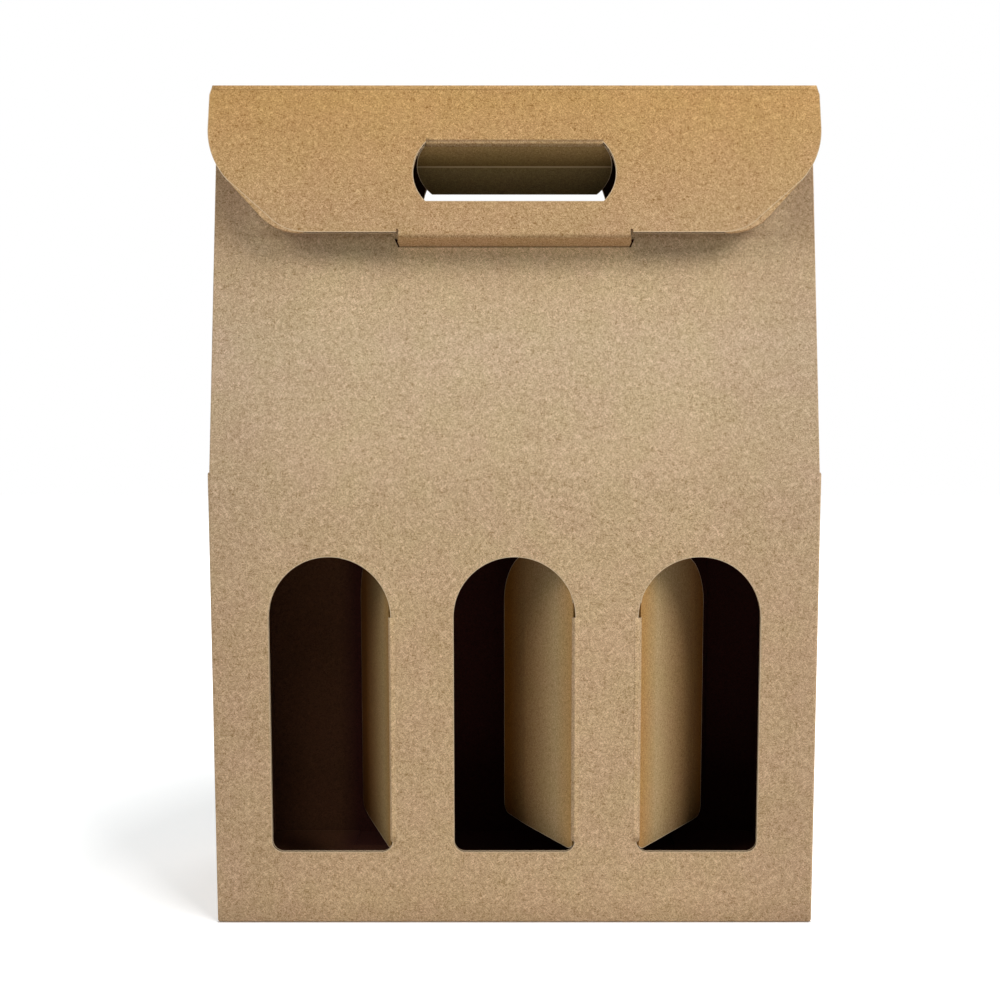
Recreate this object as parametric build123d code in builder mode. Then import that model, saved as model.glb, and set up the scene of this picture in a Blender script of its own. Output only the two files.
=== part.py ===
from build123d import *

import os
from math import asin, atan2, cos, degrees, hypot, radians, sin, sqrt, tan

# A carrier box for three bottles, folded from one die-cut sheet of fine corrugated board.
# Millimetres. The origin is the centre of the base, +Z is up and the windowed front faces -Y.
# The walls stand upright to a soft crease. Above it the front and back panels lean in to a narrow
# top, with the side walls folded in between them. The back panel runs on as the top strip, which
# turns down over the front as the lid flap and locks with a tuck tab in a slot.

# Board
board = 1.5
roll_bulge = 0.06  # how far the roll of a fold stands proud of the board's faces
cut_gap = 0.4  # kerf between a die-cut flap and the board it was cut from
hinge_gap = 0.3  # between a flap's hinge roll and the board beside it
layer_gap = 0.2  # between the folded layers of the bottom

# Walls
inside_width = 270.0
inside_depth = 90.0
wall_height = 205.5
corner_radius = 1.6
base_radius = 1.2

# Gable
total_height = 379.5
top_opening = 50.0  # outside distance between the top edges of the front and back panels
gable_inset = 1.0  # each side edge of the leaning panels stands in from the wall below it
crease_radius = 60.0  # soft crease between a wall and its leaning panel
strip_gap = 0.3  # between the front panel's top edge and the strip that lies on it
top_fold_radius = 1.6

# Lid flap
lid_overhang = 5.5  # the lid's fold lies this far in front of the front panel's top edge
lid_lean = 11.2  # degrees from upright
lid_drop = 68.6  # from the fold to the lower edge, along the lid
lid_corner_cut = 1.1  # each side edge tapers in by this much at the fold
lid_corner_run = 4.0
lid_straight = 19.5
lid_shoulder_radius = 37.0
lid_shoulder_turn = 42.0  # degrees
lid_foot_radius = 22.5

# Tuck tab, an arc about the lid's fold so that it swings out of its slot without rubbing
tab_radius = 70.25
tab_reach = 24.0
tab_root_width = 101.6
tab_width = 103.6
tab_tip_width = 96.0
tab_root_run = 6.0  # over this reach the tab widens from its root
tab_tip_run = 8.0  # and over this it narrows to its tip
tab_corner = 6.0
tab_corner_share = 0.9  # of the slanted edge beside it, at most, that a corner's round takes up
tab_fold_radius = 1.5
notch_depth = 1.4
notch_width = 1.1
slot_clearance = 0.35
slot_end_clearance = 0.6
slot_flare = 1.8
slot_lip = 1.2

# Hand holes
hand_width = 90.0
hand_straight = 78.5
hand_height = 28.0
hand_drop = 26.4  # from the lid's fold to the hand flap's hinge
hand_flap_angle = 67.5  # degrees, pushed in from the lid's plane
hand_crease_bend = 4.0  # degrees
through_end_room = 3.0  # a hole behind the lid is this much longer at each end than the lid's
through_straight_room = 2.75
through_height_room = 3.0
through_raise = 1.2  # and its middle lies this much higher

# Windows
window_width = 55.0
window_height = 135.4
window_sill = 33.3
window_pitch = 83.0
window_corner = 5.0
relief = 1.2  # a window flap's outline keeps this far from its hinge beyond the hinge's ends

# Window flaps: the angle in degrees that each is pushed in from the wall, the distance of its crease
# from its hinge, and the bend there in degrees
left_flap_angle = 66.0
left_flap_crease = 40.0
left_flap_bend = 2.0
middle_flap_angle = 52.5
middle_flap_crease = 36.0
middle_flap_bend = 4.5
right_flap_angle = 46.0
right_flap_crease = 45.5
right_flap_bend = 4.0

# Bottom: three folded layers locked by a tongue
front_panel_reach = 67.5  # depth of the innermost panel, from the front wall's outside
ramp_foot = 0.3  # height of an inner layer's underside where it leaves its wall
ramp_run = 14.0
dust_ramp_run = 7.0
dust_reach = 48.0
dust_front_margin = 16.5
dust_back_margin = 2.0
back_panel_side_margin = 9.0
back_panel_reach = 34.5
panel_side_clearance = 1.0
tongue_width = 60.0
tongue_reach = 32.0
tongue_ramp_run = 18.0
tongue_side_clearance = 2.0
tongue_end_clearance = 2.0

# Glue flap inside the back wall
glue_flap_width = 28.0
glue_flap_margin = 5.0
glue_flap_taper = 9.3

# Each window's centre and the side that its hinge is on
window_hinges = {
    "left": (-window_pitch, 1),
    "middle": (0.0, 1),
    "right": (window_pitch, -1),
}
window_flap_pose = {
    "left": (left_flap_angle, left_flap_crease, left_flap_bend),
    "middle": (middle_flap_angle, middle_flap_crease, middle_flap_bend),
    "right": (right_flap_angle, right_flap_crease, right_flap_bend),
}

# Sizes that follow
half_board = board / 2
roll_radius = half_board + roll_bulge
outside_width = inside_width + 2 * board
outside_depth = inside_depth + 2 * board
lid_width = outside_width
front_face = -outside_depth / 2
back_face = outside_depth / 2
gable_edge = outside_width / 2 - gable_inset - half_board  # mid-board line of a gable's side fold
strip_underside = total_height - board
top_edge = strip_underside - strip_gap
gable_rise = top_edge - wall_height
gable_run = (outside_depth - top_opening) / 2
gable_slope = hypot(gable_run, gable_rise)
gable_lean = degrees(atan2(gable_run, gable_rise))
crease_zone = crease_radius * radians(gable_lean)
hinge_room = roll_radius + hinge_gap  # from a flap's hinge line to the board beyond it

# The lid's fold line, and the plane of its board's middle
lid_fold = Vector(0, -top_opening / 2 - lid_overhang, total_height - half_board)
lid_panel = Plane(
    origin=lid_fold,
    x_dir=(1, 0, 0),
    z_dir=(0, -cos(radians(lid_lean)), sin(radians(lid_lean))),
)


def board_between(*corners):
    """A flat panel of board whose mid-plane has these corners, as a sketch to extrude both ways."""
    first = Vector(*corners[0])
    along = Vector(*corners[1]) - first
    across = Vector(*corners[2]) - first
    plane = Plane(origin=first, x_dir=along, z_dir=along.cross(across))
    with BuildSketch(plane) as panel:
        with BuildLine():
            Polyline(*[plane.to_local_coords(Vector(*corner)) for corner in corners], close=True)
        make_face()
    return panel.sketch


def roll_section(start, end, radius=roll_radius):
    """The round section of a fold's roll, at the start of a fold line."""
    with BuildSketch(Plane(origin=start, z_dir=Vector(*end) - Vector(*start))) as section:
        Circle(radius)
    return section.sketch


def distance(start, end):
    """Length of a fold line."""
    return (Vector(*end) - Vector(*start)).length


def hand_outline(plane, centre, width, straight, height):
    """A hand hole: straight upper and lower edges with bowed ends."""
    with BuildSketch(plane) as outline:
        with BuildLine():
            Line((-straight / 2, centre + height / 2), (straight / 2, centre + height / 2))
            ThreePointArc(
                (straight / 2, centre + height / 2),
                (width / 2, centre),
                (straight / 2, centre - height / 2),
            )
            Line((straight / 2, centre - height / 2), (-straight / 2, centre - height / 2))
            ThreePointArc(
                (-straight / 2, centre - height / 2),
                (-width / 2, centre),
                (-straight / 2, centre + height / 2),
            )
        make_face()
    return outline.sketch


def arch_outline(plane, centre, inset):
    """A window: an arch on two straight sides, with rounded lower corners, inset all round."""
    radius = window_width / 2 - inset
    springing = window_sill + window_height - window_width / 2
    with BuildSketch(plane) as outline:
        with Locations((centre, springing)):
            Circle(radius)
        with Locations((centre, window_sill + inset)):
            Rectangle(2 * radius, springing - window_sill - inset, align=(Align.CENTER, Align.MIN))
        corners = outline.vertices().group_by(Axis.Y)[0]
        fillet(corners, window_corner - inset)
    return outline.sketch


window_springing = window_sill + window_height - window_width / 2
window_hinge_foot = window_sill + window_corner

# Carton: everything of the sheet that stands still
gusset_depth = inside_depth / 2 + half_board
gusset_top = top_opening / 2 - half_board
gusset_span = gusset_depth**2 - gusset_top**2
gusset_height = (gable_slope**2 - gusset_span + gable_rise**2) / (2 * gable_rise)
gusset_tuck = sqrt(gable_slope**2 - gusset_height**2)

with BuildPart() as carton:
    # Upright walls, rounded at their folds
    with BuildSketch():
        RectangleRounded(outside_width, outside_depth, corner_radius)
        Rectangle(inside_width, inside_depth, mode=Mode.SUBTRACT)
    extrude(amount=wall_height - crease_zone)
    fillet(carton.faces().sort_by(Axis.Z)[0].outer_wire().edges(), base_radius)
    with BuildSketch(Plane.XY.offset(wall_height - crease_zone)):
        RectangleRounded(outside_width, outside_depth, corner_radius)
        Rectangle(inside_width, inside_depth, mode=Mode.SUBTRACT)
        Rectangle(2 * gable_edge - board, outside_depth, mode=Mode.SUBTRACT)
    extrude(amount=crease_zone)

    # Leaning front panel, with the soft crease at its foot
    with BuildSketch(Plane.YZ):
        with BuildLine():
            FilletPolyline(
                (front_face, wall_height - crease_zone),
                (front_face, wall_height),
                (front_face + gable_run, top_edge),
                radius=crease_radius,
            )
            offset(amount=board, side=Side.RIGHT)
        make_face()
    extrude(amount=gable_edge, both=True)

    # Leaning back panel, folded over into the top strip
    with BuildSketch(Plane.YZ):
        with BuildLine():
            FilletPolyline(
                (back_face, wall_height - crease_zone),
                (back_face, wall_height),
                (back_face - gable_run, total_height),
                (lid_fold.Y + hinge_room, total_height),
                radius=(crease_radius, top_fold_radius),
            )
            offset(amount=board, side=Side.LEFT)
        make_face()
    extrude(amount=gable_edge, both=True)
    with BuildSketch(Plane.XY.offset(strip_underside)):
        with Locations((0, (lid_fold.Y + hinge_room + top_opening / 2 - top_fold_radius) / 2)):
            Rectangle(
                outside_width - 2 * gable_inset,
                top_opening / 2 - top_fold_radius - lid_fold.Y - hinge_room,
            )
    extrude(amount=board)

    # Side walls folded in above the crease, three flat facets a side
    for side in (-1, 1):
        front_corner = (side * gable_edge, -gusset_depth, wall_height)
        back_corner = (side * gable_edge, gusset_depth, wall_height)
        front_top = (side * gable_edge, -gusset_top, top_edge)
        back_top = (side * gable_edge, gusset_top, top_edge)
        tuck = (side * (gable_edge - gusset_tuck), 0, wall_height + gusset_height)
        extrude(board_between(front_corner, back_corner, tuck), amount=half_board, both=True)
        extrude(board_between(front_corner, tuck, front_top), amount=half_board, both=True)
        extrude(board_between(back_corner, back_top, tuck), amount=half_board, both=True)
        for start, end in (
            (front_corner, front_top),
            (back_corner, back_top),
            (front_corner, tuck),
            (back_corner, tuck),
        ):
            extrude(roll_section(start, end), amount=distance(start, end))
        crease_start = (side * (gable_edge + gable_inset / 2), -gusset_depth, wall_height)
        crease_end = (side * (gable_edge + gable_inset / 2), gusset_depth, wall_height)
        extrude(
            roll_section(crease_start, crease_end, half_board + gable_inset / 4),
            amount=distance(crease_start, crease_end),
        )

    # Bottom, outermost layer: the back panel with its locking tongue
    dust_level = board + layer_gap
    front_level = dust_level + board + layer_gap
    tongue_level = front_level + board + layer_gap
    tongue_root = back_face - back_panel_reach
    tongue_flat = tongue_root - tongue_ramp_run
    tongue_tip = tongue_root - tongue_reach
    with BuildSketch():
        with Locations((0, (back_face - half_board + tongue_root) / 2)):
            Rectangle(
                inside_width - 2 * back_panel_side_margin,
                back_face - half_board - tongue_root,
            )
    extrude(amount=board)

    # Middle layer: a dust flap from each side wall
    for side in (-1, 1):
        wall = side * (inside_width / 2 + half_board)
        foot = side * (inside_width / 2 - dust_ramp_run)
        edge = side * (inside_width / 2 - dust_reach)
        middle = (dust_front_margin - dust_back_margin) / 2
        with BuildSketch(Plane.XZ.offset(-middle)):
            with BuildLine():
                Polyline(
                    (wall, ramp_foot),
                    (foot, dust_level),
                    (edge, dust_level),
                    (edge, dust_level + board),
                    (foot, dust_level + board),
                    (wall, ramp_foot + board),
                    close=True,
                )
            make_face()
        extrude(amount=(inside_depth - dust_front_margin - dust_back_margin) / 2, both=True)

    # Innermost layer: the front panel, notched for the tongue
    front_panel_edge = front_face + front_panel_reach
    with BuildSketch(Plane.YZ):
        with BuildLine():
            Polyline(
                (front_face + half_board, ramp_foot),
                (front_face + board + ramp_run, front_level),
                (front_panel_edge, front_level),
                (front_panel_edge, front_level + board),
                (front_face + board + ramp_run, front_level + board),
                (front_face + half_board, ramp_foot + board),
                close=True,
            )
        make_face()
    extrude(amount=inside_width / 2 - panel_side_clearance, both=True)
    notch_end = tongue_flat - tongue_end_clearance
    with BuildSketch(Plane.XY.offset(front_level)):
        with Locations((0, (front_panel_edge + notch_end) / 2)):
            Rectangle(
                tongue_width + 2 * tongue_side_clearance,
                front_panel_edge - notch_end,
            )
    extrude(amount=board, mode=Mode.SUBTRACT)
    with BuildSketch(Plane.YZ):
        with BuildLine():
            Polyline(
                (tongue_root + half_board, 0),
                (tongue_root, 0),
                (tongue_flat, tongue_level),
                (tongue_tip, tongue_level),
                (tongue_tip, tongue_level + board),
                (tongue_flat, tongue_level + board),
                (tongue_root, board),
                (tongue_root + half_board, board),
                close=True,
            )
        make_face()
    extrude(amount=tongue_width / 2, both=True)

    # Glue flap, stuck to the inside of the back wall
    glue_flap_edge = inside_width / 2 - glue_flap_width
    with BuildSketch(Plane.XZ.offset(half_board - back_face)):
        with BuildLine():
            Polyline(
                (inside_width / 2, glue_flap_margin),
                (glue_flap_edge, glue_flap_margin + glue_flap_taper),
                (glue_flap_edge, wall_height - glue_flap_margin - glue_flap_taper),
                (inside_width / 2, wall_height - glue_flap_margin),
                close=True,
            )
        make_face()
    extrude(amount=half_board + board)

    # Hand holes through the front and back panels, roomy enough for the hand flap
    lid_hole_drop = (hand_drop + hand_height / 2) * cos(radians(lid_lean))
    extrude(
        hand_outline(
            Plane.XZ,
            lid_fold.Z - lid_hole_drop + through_raise,
            hand_width + 2 * through_end_room,
            hand_straight + 2 * through_straight_room,
            hand_height + 2 * through_height_room,
        ),
        amount=outside_depth / 2,
        both=True,
        mode=Mode.SUBTRACT,
    )

    # Slot for the tuck tab, with its ends slanted up and out
    slot_level = lid_fold.Z - tab_radius
    slot_y = front_face + half_board + gable_run / gable_rise * (slot_level - wall_height)
    slot_z = lid_fold.Z - sqrt(tab_radius**2 - (slot_y - lid_fold.Y) ** 2)
    slot_low = slot_z - half_board - slot_clearance
    slot_high = slot_z + half_board + slot_clearance
    slot_end = tab_width / 2 + slot_end_clearance
    with BuildSketch(Plane.XZ.offset(-slot_y)):
        with BuildLine():
            Polyline(
                (-slot_end, slot_low),
                (slot_end, slot_low),
                (slot_end + slot_flare, slot_high + slot_flare),
                (slot_end + slot_flare - slot_lip, slot_high + slot_flare),
                (slot_end - slot_lip, slot_high),
                (slot_lip - slot_end, slot_high),
                (slot_lip - slot_flare - slot_end, slot_high + slot_flare),
                (-slot_flare - slot_end, slot_high + slot_flare),
                close=True,
            )
        make_face()
    extrude(amount=2 * board, both=True, mode=Mode.SUBTRACT)

    # Windows, each with room beside it for the roll of its flap's hinge
    for centre, hinge_side in window_hinges.values():
        extrude(
            arch_outline(Plane.XZ.offset(-front_face), centre, 0),
            amount=-2 * board,
            mode=Mode.SUBTRACT,
        )
        with BuildSketch(Plane.XZ.offset(-front_face)):
            with Locations((centre + hinge_side * window_width / 2, window_hinge_foot)):
                Rectangle(
                    2 * hinge_room,
                    window_springing - window_hinge_foot,
                    align=(Align.CENTER, Align.MIN),
                )
        extrude(amount=-2 * board, mode=Mode.SUBTRACT)

carton.part.label = "carton"

# Lid flap with its tuck tab and hand hole
lid_down = Vector(0, -sin(radians(lid_lean)), -cos(radians(lid_lean)))
lid_inward = Vector(0, cos(radians(lid_lean)), -sin(radians(lid_lean)))
tab_outer = tab_radius + half_board
tab_inner = tab_radius - half_board
tab_start = -90 - lid_lean
tab_turn = degrees(tab_reach / tab_radius)
slant_length = (
    lid_drop
    - lid_straight
    - lid_shoulder_radius * sin(radians(lid_shoulder_turn))
    - lid_foot_radius * (1 - sin(radians(lid_shoulder_turn)))
) / cos(radians(lid_shoulder_turn))


def on_lid(down, inward):
    """A point of the lid's side view, from its fold line: (Y, Z)."""
    point = lid_fold + lid_down * down + lid_inward * inward
    return (point.Y, point.Z)


with BuildPart() as lid_flap:
    # Tab and its fold, in side view
    stub = lid_drop - 2 * tab_fold_radius
    outer_corner = on_lid(sqrt(tab_outer**2 - half_board**2), -half_board)
    inner_corner = on_lid(sqrt(tab_inner**2 - half_board**2), half_board)
    with BuildSketch(Plane.YZ) as tab_side:
        with BuildLine():
            fold_centre = (lid_fold.Y, lid_fold.Z)
            outer_turn = degrees(asin(half_board / tab_outer))
            inner_turn = degrees(asin(half_board / tab_inner))
            outer_arc = CenterArc(
                fold_centre, tab_outer, tab_start - outer_turn, tab_turn + outer_turn
            )
            inner_arc = CenterArc(
                fold_centre, tab_inner, tab_start + inner_turn, tab_turn - inner_turn
            )
            Line(outer_arc @ 1, inner_arc @ 1)
            Polyline(
                outer_arc @ 0,
                on_lid(stub, -half_board),
                on_lid(stub, half_board),
                inner_arc @ 0,
            )
        make_face()
        fillet(tab_side.vertices().sort_by(Axis.X)[0], tab_fold_radius)
    extrude(amount=tab_width / 2, both=True)

    # Tab's outline from above
    tab_back = lid_fold.Y - tab_outer * sin(radians(lid_lean)) - board
    tab_front = lid_fold.Y + tab_outer * sin(radians(tab_turn - lid_lean))
    tip_widening = (tab_tip_width - tab_width) / 2
    corner_angle = atan2(tab_tip_run, tip_widening)
    corner_room = hypot(tab_tip_run, tip_widening) * tan(corner_angle / 2)
    with BuildSketch(Plane.XY.offset(lid_fold.Z - tab_outer - board)) as tab_plan:
        with BuildLine():
            Polyline(
                (-tab_root_width / 2, tab_back),
                (-tab_width / 2, tab_back + tab_root_run),
                (-tab_width / 2, tab_front - tab_tip_run),
                (-tab_tip_width / 2, tab_front),
                (tab_tip_width / 2, tab_front),
                (tab_width / 2, tab_front - tab_tip_run),
                (tab_width / 2, tab_back + tab_root_run),
                (tab_root_width / 2, tab_back),
                close=True,
            )
        make_face()
        fillet(
            tab_plan.vertices().group_by(Axis.Y)[-1],
            min(tab_corner, tab_corner_share * corner_room),
        )
    extrude(amount=tab_reach, mode=Mode.INTERSECT)

    # Flat panel of the lid
    with BuildSketch(lid_panel):
        with BuildLine():
            Polyline(
                (0, 0),
                (lid_width / 2 - lid_corner_cut, 0),
                (lid_width / 2, -lid_corner_run),
                (lid_width / 2, -lid_straight),
            )
            shoulder = JernArc(
                (lid_width / 2, -lid_straight), (0, -1), lid_shoulder_radius, -lid_shoulder_turn
            )
            slant = PolarLine(shoulder @ 1, slant_length, direction=shoulder % 1)
            foot = JernArc(slant @ 1, slant % 1, lid_foot_radius, lid_shoulder_turn - 90)
            Line(foot @ 1, (0, -lid_drop))
            mirror(about=Plane.YZ)
        make_face()
    extrude(amount=half_board, both=True)

    # Roll of the lid's fold
    roll_end = lid_width / 2 - lid_corner_cut
    roll = roll_section((-roll_end, lid_fold.Y, lid_fold.Z), (roll_end, lid_fold.Y, lid_fold.Z))
    extrude(roll, amount=2 * roll_end)

    # Hand hole, with room above it for the roll of the hand flap's hinge
    extrude(
        hand_outline(
            lid_panel, -hand_drop - hand_height / 2, hand_width, hand_straight, hand_height
        ),
        amount=board,
        both=True,
        mode=Mode.SUBTRACT,
    )
    with BuildSketch(lid_panel):
        with Locations((0, -hand_drop)):
            Rectangle(hand_straight, 2 * hinge_room)
    extrude(amount=board, both=True, mode=Mode.SUBTRACT)

    # Notches that free the ends of the tab's fold
    with BuildSketch(lid_panel):
        with GridLocations(tab_root_width + notch_width, 0, 2, 1):
            with Locations((0, -lid_drop)):
                Rectangle(notch_width, 2 * notch_depth)
    extrude(amount=board, both=True, mode=Mode.SUBTRACT)

lid_flap.part.label = "lid_flap"

# Hand flap, pushed in through the hand holes, with a crease across it
hand_reach = hand_height - cut_gap
hand_crease = hand_reach / 2
hand_hinge = lid_fold + lid_down * hand_drop
hand_upper_angle = radians(hand_flap_angle - lid_lean + hand_crease_bend / 2)
hand_lower_angle = hand_upper_angle - radians(hand_crease_bend)
hand_fold = hand_hinge + Vector(0, sin(hand_upper_angle), -cos(hand_upper_angle)) * hand_crease
hand_upper = Plane(
    origin=hand_hinge, x_dir=(1, 0, 0), z_dir=(0, -cos(hand_upper_angle), -sin(hand_upper_angle))
)
hand_lower = Plane(
    origin=hand_fold, x_dir=(1, 0, 0), z_dir=(0, -cos(hand_lower_angle), -sin(hand_lower_angle))
)

with BuildPart() as hand_flap:
    for plane, start, low, high in (
        (hand_upper, 0, -hand_crease, 0),
        (hand_lower, hand_crease, -hand_reach, 0),
    ):
        with BuildSketch(plane):
            add(
                hand_outline(
                    Plane.XY,
                    start - hand_reach / 2,
                    hand_width - 2 * cut_gap,
                    hand_straight - 2 * cut_gap,
                    hand_reach,
                )
            )
            with Locations((0, (low + high) / 2)):
                Rectangle(hand_width, high - low, mode=Mode.INTERSECT)
            if start == 0:
                with GridLocations(hand_straight - 2 * cut_gap + relief, 0, 2, 1):
                    Rectangle(relief, 2 * relief, mode=Mode.SUBTRACT)
        extrude(amount=half_board, both=True)
    for point, width in (
        (hand_hinge, hand_straight - 4 * cut_gap),
        (hand_fold, hand_width - 4 * cut_gap),
    ):
        section = roll_section((-width / 2, point.Y, point.Z), (width / 2, point.Y, point.Z))
        extrude(section, amount=width)

hand_flap.part.label = "hand_flap"


def make_window_flap(centre, hinge_side, angle, crease, bend):
    """A window's flap, pushed in about its hinge, with a crease that bends its outer part on."""
    hinge = Vector(centre + hinge_side * window_width / 2, front_face + half_board, 0)
    root_angle = radians(angle)
    tip_angle = radians(angle + bend)
    root_along = Vector(-hinge_side * cos(root_angle), sin(root_angle), 0)
    tip_along = Vector(-hinge_side * cos(tip_angle), sin(tip_angle), 0)
    fold = hinge + root_along * crease
    up = Vector(0, 0, 1)
    root = Plane(origin=hinge, x_dir=root_along, z_dir=root_along.cross(up))
    tip = Plane(origin=fold, x_dir=tip_along, z_dir=tip_along.cross(up))
    fold_offset = crease - window_width / 2
    fold_top = window_springing + sqrt((window_width / 2 - cut_gap) ** 2 - fold_offset**2)
    with BuildPart() as flap:
        for plane, start, length in (
            (root, 0, crease),
            (tip, crease, window_width - crease),
        ):
            with BuildSketch(plane):
                add(arch_outline(Plane.XY, window_width / 2 - start, cut_gap))
                with Locations((0, window_sill)):
                    Rectangle(
                        length,
                        window_height,
                        align=(Align.MIN, Align.MIN),
                        mode=Mode.INTERSECT,
                    )
                if start == 0:
                    with Locations((0, window_springing - cut_gap)):
                        Rectangle(
                            2 * relief,
                            window_width,
                            align=(Align.CENTER, Align.MIN),
                            mode=Mode.SUBTRACT,
                        )
                    with Locations((0, window_hinge_foot + cut_gap)):
                        Rectangle(
                            2 * relief,
                            window_width,
                            align=(Align.CENTER, Align.MAX),
                            mode=Mode.SUBTRACT,
                        )
            extrude(amount=half_board, both=True)
        for point, low, high in (
            (hinge, window_hinge_foot + cut_gap, window_springing - cut_gap),
            (fold, window_sill + 2 * cut_gap, fold_top - cut_gap),
        ):
            section = roll_section((point.X, point.Y, low), (point.X, point.Y, high))
            extrude(section, amount=high - low)
    return flap.part


window_flaps = {
    name: make_window_flap(*window_hinges[name], *window_flap_pose[name])
    for name in window_hinges
}

os.makedirs("parts", exist_ok=True)
export_step(carton.part, "parts/carton.step")
export_step(lid_flap.part, "parts/lid_flap.step")
export_step(hand_flap.part, "parts/hand_flap.step")
for name, flap in window_flaps.items():
    flap.label = f"window_flap_{name}"
    export_step(flap, f"parts/window_flap_{name}.step")
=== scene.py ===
from math import acos, asin, atan2, cos, degrees, pi, radians, sin, tan

import bpy
from mathutils import Matrix, Vector


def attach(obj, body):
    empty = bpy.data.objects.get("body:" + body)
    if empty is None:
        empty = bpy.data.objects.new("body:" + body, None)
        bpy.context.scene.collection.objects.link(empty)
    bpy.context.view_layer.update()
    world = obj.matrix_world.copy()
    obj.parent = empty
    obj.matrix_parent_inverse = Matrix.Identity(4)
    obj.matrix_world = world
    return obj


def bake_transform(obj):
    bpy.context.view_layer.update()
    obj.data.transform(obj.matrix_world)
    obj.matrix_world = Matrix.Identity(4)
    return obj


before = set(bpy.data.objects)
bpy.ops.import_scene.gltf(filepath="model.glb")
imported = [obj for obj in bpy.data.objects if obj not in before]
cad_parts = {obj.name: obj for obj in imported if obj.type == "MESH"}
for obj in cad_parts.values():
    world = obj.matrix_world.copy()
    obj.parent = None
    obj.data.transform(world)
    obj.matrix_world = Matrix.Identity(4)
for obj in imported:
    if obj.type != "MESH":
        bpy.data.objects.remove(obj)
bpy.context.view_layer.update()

# Sizes, in metres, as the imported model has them
mm = 0.001
board = 1.5 * mm
half_board = board / 2
kerf = 0.4 * mm
crease_relief = 1.2 * mm
front_face = -46.5 * mm
half_width = 136.5 * mm
wall_height = 205.5 * mm
total_height = 379.5 * mm
gable_run = 21.5 * mm
gable_rise = 172.2 * mm
gable_lean = atan2(gable_run, gable_rise)

# Windows: side is +1 where the flap's fold is on the right, angle is how far it is pushed in, and
# at crease from the fold it bends further by bend. Angles are in degrees
window_half = 27.5 * mm
window_sill = 33.3 * mm
window_spring = 141.2 * mm
window_corner = 5.0 * mm
window_low = window_sill + window_corner
window_pitch = 83.0 * mm
hinge_y = front_face + half_board
windows = {
    "left": {"centre": -window_pitch, "side": 1, "angle": 66.0, "crease": 40.0 * mm, "bend": 2.0},
    "middle": {"centre": 0.0, "side": 1, "angle": 52.5, "crease": 36.0 * mm, "bend": 4.5},
    "right": {"centre": window_pitch, "side": -1, "angle": 46.0, "crease": 45.5 * mm, "bend": 4.0},
}

# Lid: lid_turn is how far its shoulder's arc turns, in degrees, before the straight run to the foot
lean_degrees = 11.2
lid_lean = radians(lean_degrees)
lid_fold = Vector((0, -30.5, 378.75)) * mm
lid_down = Vector((0, -sin(lid_lean), -cos(lid_lean)))
lid_out = Vector((0, -cos(lid_lean), sin(lid_lean)))
lid_drop = 68.6 * mm
lid_corner_cut = 1.1 * mm
lid_corner_run = 4.0 * mm
lid_straight = 19.5 * mm
lid_shoulder = 37.0 * mm
lid_turn = 42.0
lid_foot = 22.5 * mm
notch_edge = 51.9 * mm

# Hand hole and its flap, pushed in and bent at its crease, and the holes behind it
hand_drop = 26.4 * mm
hand_height = 28.0 * mm
hand_half = 45.0 * mm
hand_straight = 39.25 * mm
push_degrees = 67.5
bend_degrees = 4.0
hand_angle = radians(push_degrees - lean_degrees + bend_degrees / 2)
hand_bend = radians(bend_degrees)
hand_crease_drop = (hand_height - kerf) / 2
hand_crease_z = lid_fold.z - hand_drop * cos(lid_lean) - hand_crease_drop * cos(hand_angle)
through_half = 48.0 * mm
through_straight = 42.0 * mm
through_height = 34.0 * mm
through_centre = 340.32 * mm

# Cut edges of the board: two liners with a fluted paper between them, and a dark sheet of painted
# shade in the flutes' hollows
liner = 0.2 * mm
liner_proud = 0.01 * mm
flute_paper = 0.16 * mm
flute_pitch = 3.3 * mm
edge_rise = 0.09 * mm
hollow_rise = edge_rise / 4
edge_lap = 0.2 * mm
edge_step = 0.5 * mm
same_point = 0.01 * mm

# The outer liner over a fold: it laps both panels and thins out towards its ends
web_lap = 1.7 * mm
web_lap_shares = (1.0, 0.75, 0.5, 0.25)
web_proud = 0.09 * mm
web_end_lift = 0.015 * mm
web_paper = 0.11 * mm
web_overrun = 0.1 * mm
web_turn_steps = 14
web_length_step = 4 * mm

# The floor is lifted to white away from the box, and keeps its shadows beside and under it
floor_half = 4.0
floor_drop = 0.1 * mm
floor_colour = (0.89, 0.86, 0.85, 1)
floor_centre = Vector((-100, 0, 0)) * mm
floor_near = 120 * mm
floor_far = 340 * mm
floor_lift = 0.39

# Light: the background lights the box faintly, and is seen white
white = (1, 1, 1, 1)
ambient_colour = (0.60, 1.0, 1.15, 1)
ambient_strength = 0.12

# Soft boxes: azimuth and elevation in degrees, distance and size in metres, power in watts, colour
lamps = {
    "right_box": (57, 37, 2.0, 1.0, 33, (0.99, 1.0, 1.0)),
    "left_box": (-57, 37, 2.0, 1.0, 16, (1.0, 0.98, 0.96)),
    "back_right_box": (150, 35, 2.2, 1.2, 10, (1, 1, 1)),
    "back_left_box": (-135, 35, 2.2, 1.2, 5, (1, 1, 1)),
}

# Camera: a nearly level view of the front from above the middle, close enough for perspective
camera_distance = 423.5 * mm
camera_height = 214.1 * mm
camera_pitch = radians(3.7)
camera_lens = 30.6
camera_sensor = 36.0
camera_shift = (-0.0145, 0.010)
camera_clip = 0.01

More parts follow.
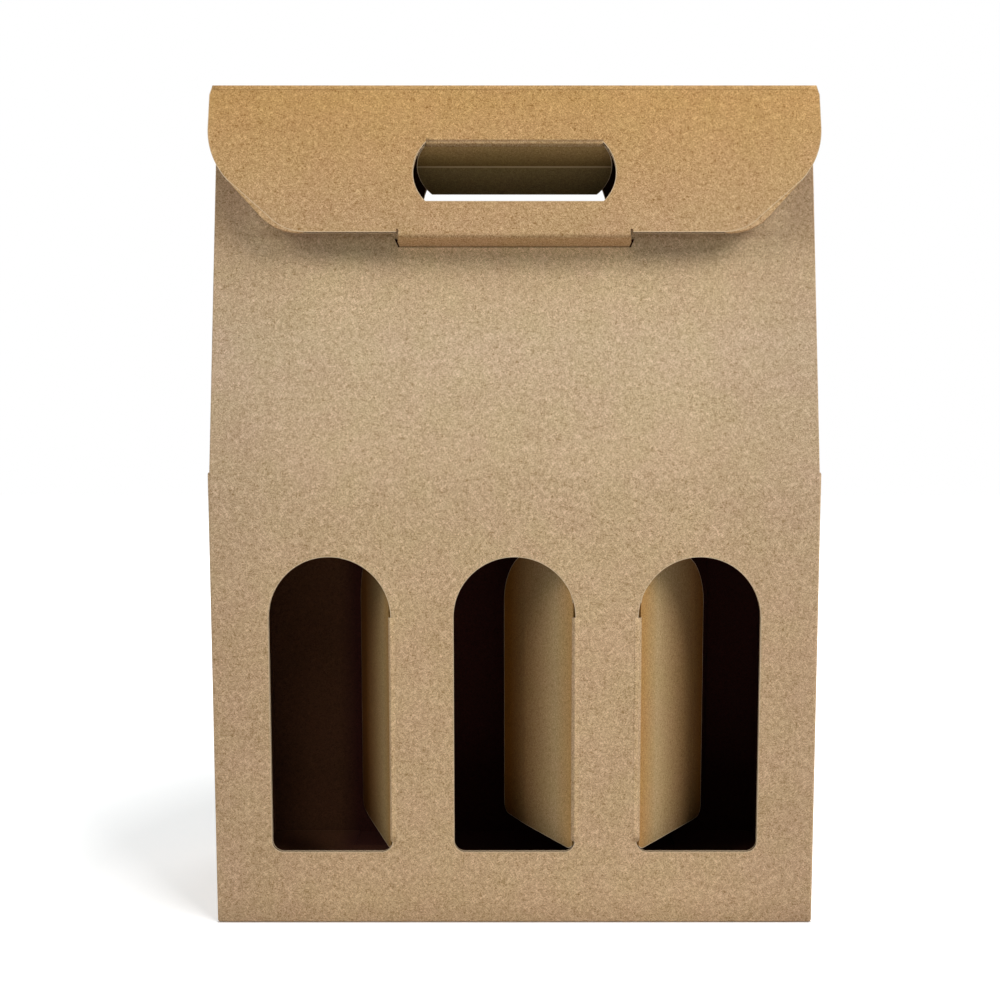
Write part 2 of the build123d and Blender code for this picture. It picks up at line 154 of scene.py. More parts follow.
# Kraft fibres: noise scales are per metre, a range is the part of the noise that is spread out,
# and each strand has a turn in degrees and a weight
felt_scale = 1650.0
felt_range = (0.25, 0.75)
felt_roughness = 0.7
felt_weight = 0.95
bend_scale = 210.0
fibre_bend = 1.3 * mm
fibre_size = (2.4 * mm, 0.7 * mm, 0.30 * mm)
fibre_strands = ((10, -0.40), (100, -0.36), (55, 0.42), (-35, 0.42))
strand_range = (0.54, 0.76)
cloud_scale = 26.0
cloud_range = (0.3, 0.7)
cloud_weight = 0.10
tone_range = (-0.30, 1.20)
ruddy_scale = 60.0
ruddy_range = (0.32, 0.68)
greenish = (0.993, 1.005, 0.97, 1)
rosy = (1.010, 0.99, 1.005, 1)
speck_scale = 130.0
speck_range = (0.05, 0.03)
speck_chance = 0.93
speck_share = 0.6
speck_colour = (0.10, 0.055, 0.025, 1)
bump_strength = 0.35
bump_depth = 0.08 * mm
kraft_finish = {"Roughness": 0.88, "Specular IOR Level": 0.25}

# Paper of the cut edges: its noise, how far that darkens and lightens it, and its finish
paper_scale = 1500.0
paper_range = (0.3, 0.7)
paper_tone = (0.8, 1.15)
paper_finish = {"Roughness": 0.92, "Specular IOR Level": 0.2}

# Colours of the kraft on the front, lid, window flaps and hand flap, and of the cut edges. The lid,
# flaps and hand flap are the same board as the front, and their own colours are painted light and
# shade: darker and warmer on the lid, darker on the flaps, darkest on the hand flap in the shade of
# its hole
front_light, front_dark = (0.80, 0.60, 0.405, 1), (0.27, 0.165, 0.062, 1)
lid_light, lid_dark = (0.70, 0.47, 0.265, 1), (0.232, 0.106, 0.022, 1)
flap_light, flap_dark = (0.547, 0.376, 0.193, 1), (0.267, 0.166, 0.063, 1)
hand_light, hand_dark = (0.335, 0.197, 0.066, 1), (0.168, 0.086, 0.025, 1)
edge_colour = (0.62, 0.46, 0.295, 1)
flute_colour = (0.50, 0.36, 0.22, 1)
# The hollows between the flutes are a dark sheet of painted shade
hollow_shade_colour = (0.12, 0.075, 0.04, 1)

# The carton's inside is darkened, from just above the base up to tint_top: a darker inner liner, and
# painted shade
inside_liner_and_shade_tint = (0.21, 0.115, 0.075, 1)
inside_slack = 0.2 * mm
gusset_facing = 0.25
tint_top = 370 * mm

# A painted highlight lies along the folds up the carton's corners: full up to the core's distance from
# them and none beyond the width
corner_highlight_tint = (1.14, 1.16, 1.18, 1)
corner_highlight_width = 1.5 * mm
corner_highlight_core = 0.3 * mm

# Painted shade of the hand flap by height over its crease, where a painted highlight line lies: from
# above the crease, turning to painted light near the fold, and below the crease
crease_shade_height = 6.4 * mm
above_crease_shade = (0.50, 0.52, 0.36, 1)
at_fold_light = (1.25, 1.35, 1.60, 1)
below_crease_shade = (0.70, 0.82, 0.92, 1)
crease_blur = 0.2 * mm
crease_line = (0.36 * mm, 0.14 * mm)
crease_highlight = (0.37, 0.255, 0.13, 1)


def across(start, end):
    """A ramp for a tint along the width, from where it starts to where it is full, given in mm."""
    return (0, start * mm, end * mm)


def deep(start, end):
    """A ramp for a tint along the depth, given in mm."""
    return (1, start * mm, end * mm)


def up(start, end):
    """A ramp for a tint along the height, given in mm."""
    return (2, start * mm, end * mm)


# Tints: the ramps whose product is the tint's reach, and the colour that is multiplied in
# Painted shade: darker and warmer towards the foot
painted_foot_shade = ([up(260, 130)], (0.94, 0.875, 0.80, 1))
warm_top = ([up(265, 300)], (0.98, 0.95, 0.88, 1))
# Painted shade just above the floor
painted_base_shade = ([up(12, 2)], (0.86, 0.85, 0.84, 1))
# Painted shade towards the sides of the front
painted_side_shade = [([across(sign * 80, sign * 128)], (0.91, 0.90, 0.93, 1)) for sign in (-1, 1)]
# Painted shade deep inside, on the back wall
deep_inside_shade = ([deep(0, 30), across(-98, -88)], (0.50, 0.27, 0.42, 1))

on_front_panel = deep(-28, -30)
# Painted light under the tab, where the lid's shadow falls
at_slot = [up(298, 306.5), up(312, 309), on_front_panel, across(-56, -50), across(56, 50)]
painted_slot_light = (at_slot, (1.22, 1.24, 1.26, 1))
# Painted shadow beneath the lid's lower edges beside the tab, and under its corners
at_lid_edge = [up(310.6, 312.6), up(316.5, 314.5)]
painted_lid_shadows = []
for sign in (-1, 1):
    beside_tab = [across(sign * 52, sign * 57), across(sign * 125, sign * 112), on_front_panel]
    painted_lid_shadows.append((at_lid_edge + beside_tab, (0.82, 0.79, 0.77, 1)))
    at_corner = [up(300, 315), across(sign * 118, sign * 128), on_front_panel]
    painted_lid_shadows.append((at_corner, (0.82, 0.78, 0.75, 1)))

# Painted highlight on the rolls of the window flaps' folds
painted_roll_highlight = ([deep(-46.5, -46.58), deep(-45.9, -46.2)], (1.10, 1.10, 1.08, 1))
# Painted warm light towards the top of the lid
painted_top_light = ([up(315, 372)], (1.05, 0.955, 0.69, 1))
# Painted shade on the tab, which faces down
painted_tab_shade = ([up(311.4, 309.6)], (0.84, 0.82, 0.78, 1))
# Painted highlight along the lid's top fold
painted_top_highlight = ([up(377.6, 378.6)], (1.10, 1.12, 1.22, 1))
# Painted light near the window flaps' folds, a little less on the right flap
painted_hinge_light = ([deep(-36, -44)], (1.04, 0.90, 0.69, 1))
painted_right_hinge_shade = ([deep(-36, -44), across(50, 54)], (0.94, 0.86, 0.76, 1))
# Painted shade towards the flaps' tips, deep inside
painted_tip_shade = ([deep(-36, -6)], (0.57, 0.29, 0.03, 1))
# Painted shade on the left flap
painted_left_flap_shade = ([across(-50, -54)], (0.66, 0.64, 0.56, 1))
# On the liner over the hand flap's fold: painted shadow above the fold, a painted highlight along it
# and painted shade on the lap below it
fold_shadow = ([up(354.4, 353.1), up(352.9, 353.05)], (0.42, 0.44, 0.54, 1))
painted_fold_highlight = ([up(353.05, 352.95), up(352.0, 352.25)], (1.0, 1.08, 1.25, 1))
painted_fold_inner_shade = ([up(352.2, 351.9)], (0.70, 0.76, 0.86, 1))

front_tints = [painted_foot_shade, warm_top, painted_base_shade, painted_slot_light] + painted_side_shade + painted_lid_shadows
window_fold_tints = [painted_foot_shade, painted_roll_highlight] + painted_side_shade
lid_tints = [painted_top_light, painted_tab_shade, painted_top_highlight]
hand_fold_tints = [painted_top_light, fold_shadow, painted_fold_highlight, painted_fold_inner_shade]
flap_tints = [painted_hinge_light, painted_right_hinge_shade, painted_tip_shade, painted_left_flap_shade]


class Graph:
    """A node tree of a material or the world, with short calls that add and join its nodes."""

    def __init__(self, owner):
        owner.use_nodes = True
        self.tree = owner.node_tree
        self.tree.nodes.clear()

    def fill(self, socket, value):
        """Links the socket to the value where that is another socket, and else sets it."""
        if isinstance(value, bpy.types.NodeSocket):
            self.tree.links.new(value, socket)
        else:
            socket.default_value = value

    def node(self, kind, inputs=None, **settings):
        made = self.tree.nodes.new("ShaderNode" + kind)
        for key, value in settings.items():
            setattr(made, key, value)
        for key, value in (inputs or {}).items():
            self.fill(made.inputs[key], value)
        return made

    def math(self, operation, a, b=0.0, c=0.0):
        return self.node("Math", {0: a, 1: b, 2: c}, operation=operation).outputs[0]

    def vector_math(self, operation, a, b):
        return self.node("VectorMath", {0: a, 1: b}, operation=operation).outputs

    def axes(self, vector):
        return self.node("SeparateXYZ", {0: vector}).outputs

    def ramp(self, value, low, high, to_low=0.0, to_high=1.0):
        inputs = {"Value": value, "From Min": low, "From Max": high}
        inputs.update({"To Min": to_low, "To Max": to_high})
        return self.node("MapRange", inputs).outputs["Result"]

    def noise(self, vector, scale, detail=2.0, roughness=0.5):
        inputs = {"Vector": vector, "Scale": scale, "Detail": detail, "Roughness": roughness}
        return self.node("TexNoise", inputs).outputs["Fac"]

    def mix(self, share, a, b, blend="MIX"):
        """Mixes two colours, whose sockets on this node are inputs 6 and 7 and output 2."""
        made = self.node("Mix", {"Factor": share}, data_type="RGBA", blend_type=blend)
        self.fill(made.inputs[6], a)
        self.fill(made.inputs[7], b)
        return made.outputs[2]

    def times(self, a, b):
        return self.mix(1.0, a, b, "MULTIPLY")


def seen_directly(graph):
    """1 for a ray that shows the surface to the camera, straight or by gloss or glass, else 0."""
    path = graph.node("LightPath")
    seen = graph.math("MAXIMUM", path.outputs["Is Camera Ray"], path.outputs["Is Glossy Ray"])
    return graph.math("MAXIMUM", seen, path.outputs["Is Transmission Ray"])


def make_world():
    world = bpy.data.worlds.new("studio")
    bpy.context.scene.world = world
    graph = Graph(world)
    ambient = graph.node("Background", {"Color": ambient_colour, "Strength": ambient_strength})
    backdrop = graph.node("Background", {"Color": white, "Strength": 1.0})
    inputs = {0: seen_directly(graph), 1: ambient.outputs[0], 2: backdrop.outputs[0]}
    mixed = graph.node("MixShader", inputs)
    graph.node("OutputWorld", {"Surface": mixed.outputs[0]})


def make_floor():
    """A pale floor. It isn't lifted under the box, so that no white shows between the bottom flaps."""
    mesh = bpy.data.meshes.new("floor")
    turns = ((-1, -1), (1, -1), (1, 1), (-1, 1))
    corners = [(x * floor_half, y * floor_half, -floor_drop) for x, y in turns]
    mesh.from_pydata(corners, [], [(0, 1, 2, 3)])
    floor = bpy.data.objects.new("floor", mesh)
    bpy.context.scene.collection.objects.link(floor)
    material = bpy.data.materials.new("floor_paint")
    graph = Graph(material)
    diffuse = graph.node("BsdfDiffuse", {"Color": floor_colour})
    place = graph.node("TexCoord").outputs["Object"]
    away = graph.vector_math("DISTANCE", place, floor_centre)["Value"]
    lift = graph.ramp(away, floor_near, floor_far, floor_lift, 1.0)
    axes = graph.axes(place)
    past_side = graph.math("SUBTRACT", graph.math("ABSOLUTE", axes[0]), half_width)
    past_front = graph.math("ADD", graph.math("ABSOLUTE", axes[1]), front_face)
    clear = graph.math("GREATER_THAN", graph.math("MAXIMUM", past_side, past_front), 0.0)
    lift = graph.math("MULTIPLY", lift, clear)
    lift = graph.math("MULTIPLY", seen_directly(graph), lift)
    glow = graph.node("Emission", {"Color": white, "Strength": lift})
    both = graph.node("AddShader", {0: diffuse.outputs[0], 1: glow.outputs[0]})
    graph.node("OutputMaterial", {"Surface": both.outputs[0]})
    mesh.materials.append(material)


def make_lamp(name, azimuth, elevation, distance, size, power, colour):
    """A square soft box that points at the middle of the box. Azimuth 0 is in front, 90 at +X."""
    target = Vector((0, 0, total_height / 2))
    away = Vector(
        (
            sin(radians(azimuth)) * cos(radians(elevation)),
            -cos(radians(azimuth)) * cos(radians(elevation)),
            sin(radians(elevation)),
        )
    )
    data = bpy.data.lights.new(name, "AREA")
    data.size = size
    data.energy = power
    data.color = colour
    lamp = bpy.data.objects.new(name, data)
    bpy.context.scene.collection.objects.link(lamp)
    lamp.location = target + away * distance
    lamp.rotation_euler = away.to_track_quat("Z", "Y").to_euler()
    lamp.visible_camera = False


def make_camera():
    data = bpy.data.cameras.new("camera")
    data.lens = camera_lens
    data.sensor_width = camera_sensor
    data.shift_x, data.shift_y = camera_shift
    data.clip_start = camera_clip
    camera = bpy.data.objects.new("camera", data)
    bpy.context.scene.collection.objects.link(camera)
    camera.location = (0, -camera_distance, camera_height)
    camera.rotation_euler = (radians(90) - camera_pitch, 0, 0)
    bpy.context.scene.camera = camera


def depth_in_carton(graph, place):
    """How far a point lies inside the outer face of the front or back, upright or leaning."""
    above = graph.math("MAXIMUM", graph.math("SUBTRACT", place[2], wall_height), 0.0)
    half_depth = graph.math("MULTIPLY_ADD", above, -tan(gable_lean), -front_face)
    return graph.math("SUBTRACT", half_depth, graph.math("ABSOLUTE", place[1]))


def inside_of_carton(graph):
    """1 on the faces that look into the carton, else 0."""
    coordinates = graph.node("TexCoord").outputs
    place = graph.axes(coordinates["Object"])
    facing = graph.axes(coordinates["Normal"])
    depth = depth_in_carton(graph, place)
    within = graph.math("GREATER_THAN", depth, board - inside_slack)
    low = graph.math("LESS_THAN", place[2], wall_height)
    high = graph.math("SUBTRACT", 1.0, low)
    side_x = graph.math("ABSOLUTE", place[0])
    at_side = graph.math("GREATER_THAN", side_x, half_width - half_board)
    outward = graph.math("MULTIPLY", facing[0], graph.math("SIGN", place[0]))
    faces_out = graph.math("GREATER_THAN", outward, gusset_facing)
    on_side = graph.math("MULTIPLY", at_side, low)
    on_gusset = graph.math("MULTIPLY", faces_out, high)
    outer = graph.math("MAXIMUM", on_side, on_gusset)
    outer = graph.math("MAXIMUM", outer, graph.math("GREATER_THAN", place[2], tint_top))
    outer = graph.math("MAXIMUM", outer, graph.math("LESS_THAN", place[2], inside_slack))
    return graph.math("MULTIPLY", within, graph.math("SUBTRACT", 1.0, outer))


def highlighted_corners(graph):
    """1 along the folds up the carton's four corners, where a highlight is painted, else 0."""
    place = graph.axes(graph.node("TexCoord").outputs["Object"])
    from_face = depth_in_carton(graph, place)
    from_side = graph.math("SUBTRACT", half_width, graph.math("ABSOLUTE", place[0]))
    far = graph.math("MAXIMUM", from_face, from_side)
    return graph.ramp(far, corner_highlight_width, corner_highlight_core)


def tinted(graph, axes, colour, tints):
    """The colour times each tint in turn, as far as the product of the tint's ramps reaches."""
    for ramps, tint in tints:
        reach = 1.0
        for axis, start, end in ramps:
            reach = graph.math("MULTIPLY", reach, graph.ramp(axes[axis], start, end))
        colour = graph.mix(reach, colour, graph.times(colour, tint))
    return colour


def fibre_tone(graph, place, felt):
    """The lightness of the fibres: fine felt, bent strands that cross each other, and slow clouds."""
    inputs = {"Vector": place, "Scale": bend_scale, "Detail": 1.0}
    bends = graph.node("TexNoise", inputs).outputs["Color"]
    shift = graph.vector_math("MULTIPLY", bends, (fibre_bend,) * 3)[0]
    bent = graph.vector_math("ADD", place, shift)[0]
    tone = graph.ramp(felt, *felt_range, 0.0, felt_weight)
    for turn, weight in fibre_strands:
        inputs = {"Vector": bent, "Rotation": (0, radians(turn), 0), "Scale": fibre_size}
        turned = graph.node("Mapping", inputs, vector_type="TEXTURE")
        strand = graph.ramp(graph.noise(turned.outputs[0], 1.0, 0.0), *strand_range)
        tone = graph.math("MULTIPLY_ADD", strand, weight, tone)
    cloud = graph.ramp(graph.noise(place, cloud_scale, 3.0), *cloud_range, -0.5, 0.5)
    return graph.math("MULTIPLY_ADD", cloud, cloud_weight, tone)


def specked(graph, place, colour):
    """The colour with a few small dark specks, each near the middle of a chosen cell."""
    cells = graph.node("TexVoronoi", {"Vector": place, "Scale": speck_scale}).outputs
    chance = graph.node("SeparateColor", {"Color": cells["Color"]}).outputs[0]
    near = graph.ramp(cells["Distance"], *speck_range)
    speck = graph.math("MULTIPLY", graph.math("GREATER_THAN", chance, speck_chance), near)
    return graph.mix(graph.math("MULTIPLY", speck, speck_share), colour, speck_colour)


def creased(graph, above, colour):
    """The colour with painted shade above and below a level crease, turning to painted light towards
    the fold, and a painted highlight line along the crease.
    """
    toward_fold = graph.ramp(above, 0.0, crease_shade_height)
    shade = graph.mix(toward_fold, above_crease_shade, at_fold_light)
    shade = graph.mix(graph.ramp(above, 0.0, -crease_blur), shade, below_crease_shade)
    colour = graph.times(colour, shade)
    at_crease = graph.ramp(graph.math("ABSOLUTE", above), *crease_line)
    return graph.mix(at_crease, colour, crease_highlight)


def kraft(name, light, dark, tints, inside=None, highlight_mask=None, crease=None):
    """Uncoated kraft liner: felted fibres, darker flecks and slow shifts of tone.

    inside gives the mask of the inside, darkened by a darker inner liner and painted shade; the corner
    mask, that of the painted highlight along the corner folds; and crease is the height of a level
    crease, with painted shade about it and a painted highlight along it."""
    material = bpy.data.materials.new(name)
    graph = Graph(material)
    place = graph.node("TexCoord").outputs["Object"]
    axes = graph.axes(place)
    felt = graph.noise(place, felt_scale, 2.0, felt_roughness)
    tone = fibre_tone(graph, place, felt)
    colour = graph.mix(graph.ramp(tone, *tone_range), dark, light)
    ruddy = graph.ramp(graph.noise(place, ruddy_scale, 1.0), *ruddy_range)
    colour = graph.times(colour, graph.mix(ruddy, greenish, rosy))
    colour = tinted(graph, axes, colour, tints)
    if inside:
        shade = tinted(graph, axes, graph.times(colour, inside_liner_and_shade_tint), [deep_inside_shade])
        colour = graph.mix(inside(graph), colour, shade)
    if highlight_mask:
        colour = graph.mix(highlight_mask(graph), colour, graph.times(colour, corner_highlight_tint))
    colour = specked(graph, place, colour)
    if crease:
        colour = creased(graph, graph.math("SUBTRACT", axes[2], crease), colour)

    bump = graph.node("Bump", {"Height": felt, "Strength": bump_strength, "Distance": bump_depth})
    inputs = {"Base Color": colour, "Normal": bump.outputs[0], **kraft_finish}
    shader = graph.node("BsdfPrincipled", inputs)
    graph.node("OutputMaterial", {"Surface": shader.outputs[0]})
    return material


def plain_paper(name, colour):
    """Cut or pulled paper fibre, a little uneven."""
    material = bpy.data.materials.new(name)
    graph = Graph(material)
    place = graph.node("TexCoord").outputs["Object"]
    noise = graph.noise(place, paper_scale, 2.0, felt_roughness)
    tone = graph.ramp(noise, *paper_range, *paper_tone)
    grey = graph.node("CombineColor", {0: tone, 1: tone, 2: tone}).outputs[0]
    inputs = {"Base Color": graph.times(colour, grey), **paper_finish}
    shader = graph.node("BsdfPrincipled", inputs)
    graph.node("OutputMaterial", {"Surface": shader.outputs[0]})
    return material


def paint(node, material):
    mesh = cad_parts[node].data
    mesh.materials.clear()
    mesh.materials.append(material)


def line(start, end):
    """Points from start up to end, about an edge step apart."""
    run = Vector(end) - Vector(start)
    count = max(1, round(run.length / edge_step))
    return [tuple(Vector(start) + run * i / count) for i in range(count + 1)]


def arc(centre, radius, start, end):
    """Points along a round stretch, from one angle to another in degrees."""
    count = max(2, round(abs(radians(end - start)) * radius / edge_step))
    angles = [radians(start + (end - start) * i / count) for i in range(count + 1)]
    return [(centre[0] + radius * cos(a), centre[1] + radius * sin(a)) for a in angles]


def joined(*stretches):
    """The stretches of an outline as one list, without repeated points."""
    points = []
    for stretch in stretches:
        for point in stretch:
            if not points or (Vector(point) - Vector(points[-1])).length > same_point:
                points.append(point)
    return points


def add_tube(vertices, faces, rings, closed):
    """Joins rings of points into a tube, closed to a loop or with a cap at each end."""
    first = len(vertices)
    around = len(rings[0])
    for ring in rings:
        vertices.extend(ring)
    last = len(rings) if closed else len(rings) - 1
    for i in range(last):
        a = first + i * around
        b = first + (i + 1) % len(rings) * around
        for k in range(around):
            n = (k + 1) % around
            faces.append((a + k, a + n, b + n, b + k))
    if not closed:
        end = first + (len(rings) - 1) * around
        faces.append(tuple(range(first + around - 1, first - 1, -1)))
        faces.append(tuple(range(end, end + around)))


def make_piece(name, vertices, faces, materials, indices):
    mesh = bpy.data.meshes.new(name)
    mesh.from_pydata(vertices, [], faces)
    for material in materials:
        mesh.materials.append(material)
    for polygon, index in zip(mesh.polygons, indices):
        polygon.material_index = index
    mesh.validate()
    piece = bpy.data.objects.new(name, mesh)
    bpy.context.scene.collection.objects.link(piece)
    return piece


def cut_edge(name, outline, place, body, closed=False):
    """The cut edge of a panel: both liners, the wave of the fluting and a dark sheet of painted shade
    in its hollows, just proud of the board.

    The outline has the open side on its right. place(u, v, w) gives the point at w off the board's
    middle, and the flutes run along v."""
    count = len(outline)
    away = []
    for i in range(count):
        before = outline[i - 1] if closed or i else outline[i]
        after = outline[(i + 1) % count] if closed or i < count - 1 else outline[i]
        along = (Vector(after) - Vector(before)).normalized()
        away.append(Vector((along.y, -along.x)))
    face = half_board + liner_proud
    core = half_board - liner
    half_paper = flute_paper / 2
    papers = (edge_paper, flute_material, hollow_shade_paper)
    ribbons = (
        (edge_paper, edge_rise, edge_lap, 0.0, core, face),
        (edge_paper, edge_rise, edge_lap, 0.0, -face, -core),
        (flute_material, edge_rise, edge_rise, core - half_paper, -half_paper, half_paper),
        (hollow_shade_paper, hollow_rise, edge_rise, 0.0, -core, core),
    )
    vertices, faces, indices = [], [], []
    for paper, rise, lap, swing, low, high in ribbons:
        rings = []
        for (u, v), out in zip(outline, away):
            wave = swing * sin(2 * pi * u / flute_pitch)
            top = (u + out.x * rise, v + out.y * rise)
            foot = (u - out.x * lap, v - out.y * lap)
            corners = ((top, high), (top, low), (foot, low), (foot, high))
            rings.append([place(*point, wave + w) for point, w in corners])
        before = len(faces)
        add_tube(vertices, faces, rings, closed)
        indices += [papers.index(paper)] * (len(faces) - before)
    piece = make_piece(name, vertices, faces, papers, indices)
    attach(piece, body)


def fold_web(name, hinge, along, start, end, out_a, out_b, material):
    """The outer liner over a fold: it lies on both panels and rounds the roll between them.

    The hinge is a point, along is the fold's direction, start and end its ends along that, and
    out_a and out_b are the outward directions of the two panels."""
    turn = out_a.angle(out_b)
    axis = out_a.cross(out_b).normalized()

    def on_panel(out, sign, share):
        lift = web_proud * (1 - share) + web_end_lift
        return out * (half_board + lift) + axis.cross(out) * (sign * web_lap * share)

    profile = [on_panel(out_a, -1, share) for share in web_lap_shares]
    for i in range(web_turn_steps + 1):
        rotation = Matrix.Rotation(turn * i / web_turn_steps, 3, axis)
        profile.append(rotation @ out_a * (half_board + web_proud))
    profile += [on_panel(out_b, 1, share) for share in reversed(web_lap_shares)]
    inner = []
    for i, point in enumerate(profile):
        before, after = profile[max(i - 1, 0)], profile[min(i + 1, len(profile) - 1)]
        inward = axis.cross((after - before).normalized())
        inner.append(point + inward * web_paper)
    ring = profile + inner[::-1]
    vertices, faces, rings = [], [], []
    count = max(2, round((end - start) / web_length_step))
    for i in range(count + 1):
        shift = along * (start + (end - start) * i / count)
        rings.append([hinge + point + shift for point in ring])
    add_tube(vertices, faces, rings, False)
    piece = make_piece(name, vertices, faces, (material,), [0] * len(faces))
    caps = (len(faces) - 2, len(faces) - 1)
    sides = (len(profile) - 1, len(ring) - 1)
    for index, polygon in enumerate(piece.data.polygons):
        polygon.use_smooth = index not in caps and index % len(ring) not in sides
    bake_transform(piece)


def on_front(u, v, w):
    """A point of the upright front wall."""
    return Vector((u, front_face + half_board - w, v))


def on_gable(side):
    """Points of the leaning front (-1) or back (1) panel by width and height."""

    def place(u, v, w):
        outer = -front_face - (v - wall_height) * tan(gable_lean)
        return Vector((u, side * (outer - (half_board - w) / cos(gable_lean)), v))

    return place


def on_lid(u, v, w):
    """A point of the lid, with v rising from minus its drop to 0 at the fold."""
    return lid_fold + Vector((u, 0, 0)) - lid_down * v + lid_out * w


def bowed_hole(centre, half, straight, height):
    """A hand hole's right bow, lower edge and left bow, with the hole on the right."""
    rise = half - straight
    radius = ((height / 2) ** 2 + rise**2) / (2 * rise)
    reach = degrees(asin(height / 2 / radius))
    middle = half - radius
    return (
        arc((middle, centre), radius, reach, -reach),
        line((straight, centre - height / 2), (-straight, centre - height / 2)),
        arc((-middle, centre), radius, 180 + reach, 180 - reach),
    )


def window_edges():
    corner_x = window_half - window_corner
    for name, window in windows.items():
        centre = window["centre"]
        arch = arc((centre, window_spring), window_half, 180, 0)
        right_corner = arc((centre + corner_x, window_low), window_corner, 0, -90)
        sill = line((centre + corner_x, window_sill), (centre - corner_x, window_sill))
        left_corner = arc((centre - corner_x, window_low), window_corner, 270, 180)
        if window["side"] > 0:
            side_x = centre - window_half
            upright = line((side_x, window_low), (side_x, window_spring))
            outline = joined(right_corner, sill, left_corner, upright, arch)
        else:
            side_x = centre + window_half
            upright = line((side_x, window_spring), (side_x, window_low))
            outline = joined(arch, upright, right_corner, sill, left_corner)
        cut_edge("edge_window_" + name, outline, on_front, "carton")


def window_flap_edges():
    corner = window_corner - kerf
    width = 2 * window_half
    radius = window_half - kerf
    for name, window in windows.items():
        side, crease = window["side"], window["crease"]
        hinge = Vector((window["centre"] + side * window_half, hinge_y, 0))
        turns = [radians(window["angle"]), radians(window["angle"] + window["bend"])]
        along = [Vector((-side * cos(a), sin(a), 0)) for a in turns]
        out = [Vector((-side * sin(a), -cos(a), 0)) for a in turns]
        fold = hinge + along[0] * crease

        def place(u, v, w, hinge=hinge, along=along, out=out, fold=fold, crease=crease):
            if u < crease:
                point = hinge + along[0] * u + out[0] * w
            else:
                point = fold + along[1] * (u - crease) + out[1] * w
            return point + Vector((0, 0, v))

        start = degrees(acos((crease_relief - window_corner) / corner))
        finish = degrees(acos((crease_relief - window_half) / radius))
        foot = window_low - corner
        outline = joined(
            arc((window_corner, window_low), corner, 360 - start, 270),
            line((window_corner, foot), (width - window_corner, foot)),
            arc((width - window_corner, window_low), corner, -90, 0),
            line((width - kerf, window_low), (width - kerf, window_spring)),
            arc((window_half, window_spring), radius, 0, finish),
        )
        cut_edge("edge_flap_" + name, outline, place, name + "_flap")
        fold_web(
            "web_" + name + "_flap",
            hinge,
            Vector((0, 0, 1)),
            window_low - web_overrun,
            window_spring + web_overrun,
            Vector((0, -1, 0)),
            out[0],
            fold_kraft,
        )


def lid_edges():
    turn_end = 180 + lid_turn
    shoulder_x = lid_shoulder - half_width
    shoulder = arc((shoulder_x, -lid_straight), lid_shoulder, 180, turn_end)
    foot_y = lid_foot - lid_drop
    run = foot_y + lid_foot * sin(radians(turn_end)) - shoulder[-1][1]
    foot_start_x = shoulder[-1][0] - run * tan(radians(90 - lid_turn))
    foot_x = foot_start_x - lid_foot * cos(radians(turn_end))
    foot = arc((foot_x, foot_y), lid_foot, turn_end, 270)
    left = joined(
        line((lid_corner_cut - half_width, 0), (-half_width, -lid_corner_run)),
        line((-half_width, -lid_corner_run), (-half_width, -lid_straight)),
        shoulder,
        line(shoulder[-1], foot[0]),
        foot,
        line(foot[-1], (-notch_edge, -lid_drop)),
    )
    right = [(-u, v) for u, v in reversed(left)]
    cut_edge("edge_lid_left", left, on_lid, "lid")
    cut_edge("edge_lid_right", right, on_lid, "lid")
    hole = bowed_hole(-hand_drop - hand_height / 2, hand_half, hand_straight, hand_height)
    cut_edge("edge_hand_hole", joined(*hole), on_lid, "lid")
    fold_web(
        "web_lid_fold",
        lid_fold,
        Vector((1, 0, 0)),
        lid_corner_cut - half_width,
        half_width - lid_corner_cut,
        Vector((0, 0, 1)),
        lid_out,
        lid_light_and_shade_kraft,
    )


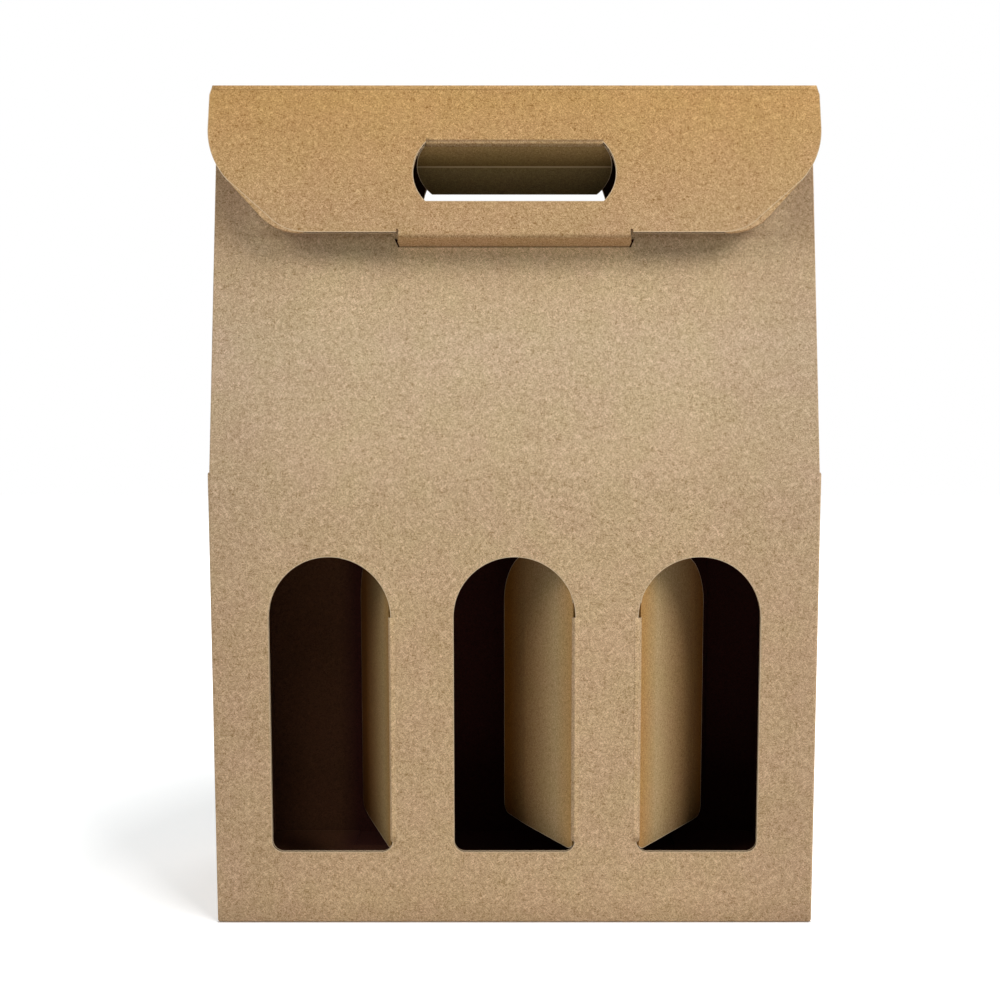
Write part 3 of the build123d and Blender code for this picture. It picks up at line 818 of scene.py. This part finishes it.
def hand_flap_edges():
    hinge = lid_fold + lid_down * hand_drop
    turns = [hand_angle, hand_angle - hand_bend]
    along = [Vector((0, sin(a), -cos(a))) for a in turns]
    out = [Vector((0, -cos(a), -sin(a))) for a in turns]
    reach = hand_height - kerf
    crease = reach / 2
    fold = hinge + along[0] * crease

    def place(u, v, w):
        if -v < crease:
            return hinge + Vector((u, 0, 0)) - along[0] * v + out[0] * w
        return fold + Vector((u, 0, 0)) + along[1] * (-v - crease) + out[1] * w

    half = hand_half - kerf
    straight = hand_straight - kerf
    hole = joined(*bowed_hole(-reach / 2, half, straight, reach))
    outline = [point for point in reversed(hole) if point[1] < -crease_relief]
    cut_edge("edge_hand_flap", outline, place, "hand_flap")
    fold_web(
        "web_hand_fold",
        hinge,
        Vector((1, 0, 0)),
        -hand_straight - web_overrun,
        hand_straight + web_overrun,
        lid_out,
        out[0],
        hand_fold_kraft,
    )


def through_hole_edges():
    top = through_centre + through_height / 2
    top_edge = line((-through_straight, top), (through_straight, top))
    for name, side in (("front", -1), ("back", 1)):
        bows = bowed_hole(through_centre, through_half, through_straight, through_height)
        outline = joined(*bows, top_edge)[:-1]
        place = on_gable(side)
        cut_edge("edge_hole_" + name, outline, place, "carton", closed=True)


make_camera()
make_world()
make_floor()
for lamp_name, settings in lamps.items():
    make_lamp(lamp_name, *settings)

front_kraft = kraft(
    "front_kraft",
    front_light,
    front_dark,
    front_tints,
    inside=inside_of_carton,
    highlight_mask=highlighted_corners,
)
fold_kraft = kraft("fold_kraft", front_light, front_dark, window_fold_tints)
# The lid, window flap and hand flap kraft carry painted light and shade in their colours and tints
lid_light_and_shade_kraft = kraft("lid_light_and_shade_kraft", lid_light, lid_dark, lid_tints)
hand_fold_kraft = kraft("hand_fold_kraft", lid_light, lid_dark, hand_fold_tints)
flap_shaded_kraft = kraft("flap_shaded_kraft", flap_light, flap_dark, flap_tints)
hand_shaded_kraft = kraft("hand_shaded_kraft", hand_light, hand_dark, [], crease=hand_crease_z)
edge_paper = plain_paper("edge_paper", edge_colour)
flute_material = plain_paper("flute_paper", flute_colour)
hollow_shade_paper = plain_paper("hollow_shade_paper", hollow_shade_colour)
paint("carton", front_kraft)
paint("lid_flap", lid_light_and_shade_kraft)
paint("hand_flap", hand_shaded_kraft)
for window_name in windows:
    paint("window_flap_" + window_name, flap_shaded_kraft)
window_edges()
window_flap_edges()
lid_edges()
hand_flap_edges()
through_hole_edges()

bpy.context.scene.view_settings.view_transform = "Standard"
